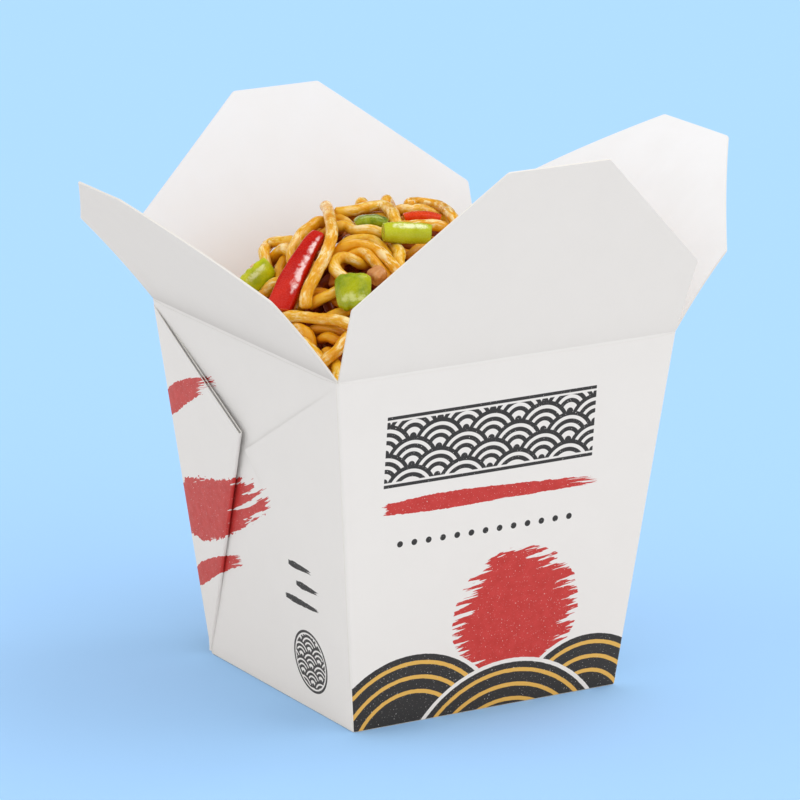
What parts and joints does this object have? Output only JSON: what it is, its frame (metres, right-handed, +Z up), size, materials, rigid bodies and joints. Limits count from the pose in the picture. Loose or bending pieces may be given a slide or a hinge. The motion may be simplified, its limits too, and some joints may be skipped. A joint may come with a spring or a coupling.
{
  "type": "noodle takeaway box",
  "caption": "Open folded-board takeaway box with four hinged top flaps, heaped with fried noodles, pepper, spring onion and meat.",
  "frame": {"origin": "centre of the carton's flat base, on the surface it stands on", "axes": "+Z up, +X to the right along the front wall, front wall facing -Y"},
  "size_m": [0.1796, 0.1463, 0.1517],
  "materials": {
    "board": "coated white board, satin",
    "noodle": "cooked, glazed with sauce",
    "red_pepper": "glossy wet skin",
    "green_pepper": "glossy wet skin",
    "spring_onion": "wet, satin",
    "meat": "browned, glazed with sauce"
  },
  "bodies": {
    "box": {"carton": "board", "noodles": "noodle", "red_pepper_strip_long": "red_pepper", "red_pepper_strip_back": "red_pepper", "red_pepper_strip_right": "red_pepper", "red_pepper_strip_front": "red_pepper", "green_pepper_left": "green_pepper", "green_pepper_middle": "green_pepper", "green_pepper_crown": "green_pepper", "green_pepper_right": "green_pepper", "spring_onion_stalk": "spring_onion", "spring_onion_slice": "spring_onion", "meat_chunk_middle": "meat", "meat_chunk_right": "meat", "meat_chunk_back": "meat"},
    "front_flap": {"flap_front": "board"},
    "back_flap": {"flap_back": "board"},
    "left_flap": {"flap_left": "board"},
    "right_flap": {"flap_right": "board"}
  },
  "joints": [
    {"name": "front_flap_crease", "type": "hinge", "parent": "box", "child": "front_flap", "pos_m": [0, -0.0494, 0.097], "axis": [1, 0, 0], "range_deg": [-76, 138]},
    {"name": "back_flap_crease", "type": "hinge", "parent": "box", "child": "back_flap", "pos_m": [0, 0.0494, 0.097], "axis": [-1, 0, 0], "range_deg": [-54, 135]},
    {"name": "left_flap_crease", "type": "hinge", "parent": "box", "child": "left_flap", "pos_m": [-0.05035, 0, 0.097], "axis": [0, -1, 0], "range_deg": [-32, 118]},
    {"name": "right_flap_crease", "type": "hinge", "parent": "box", "child": "right_flap", "pos_m": [0.05035, 0, 0.097], "axis": [0, 1, 0], "range_deg": [-28, 118]}
  ]
}
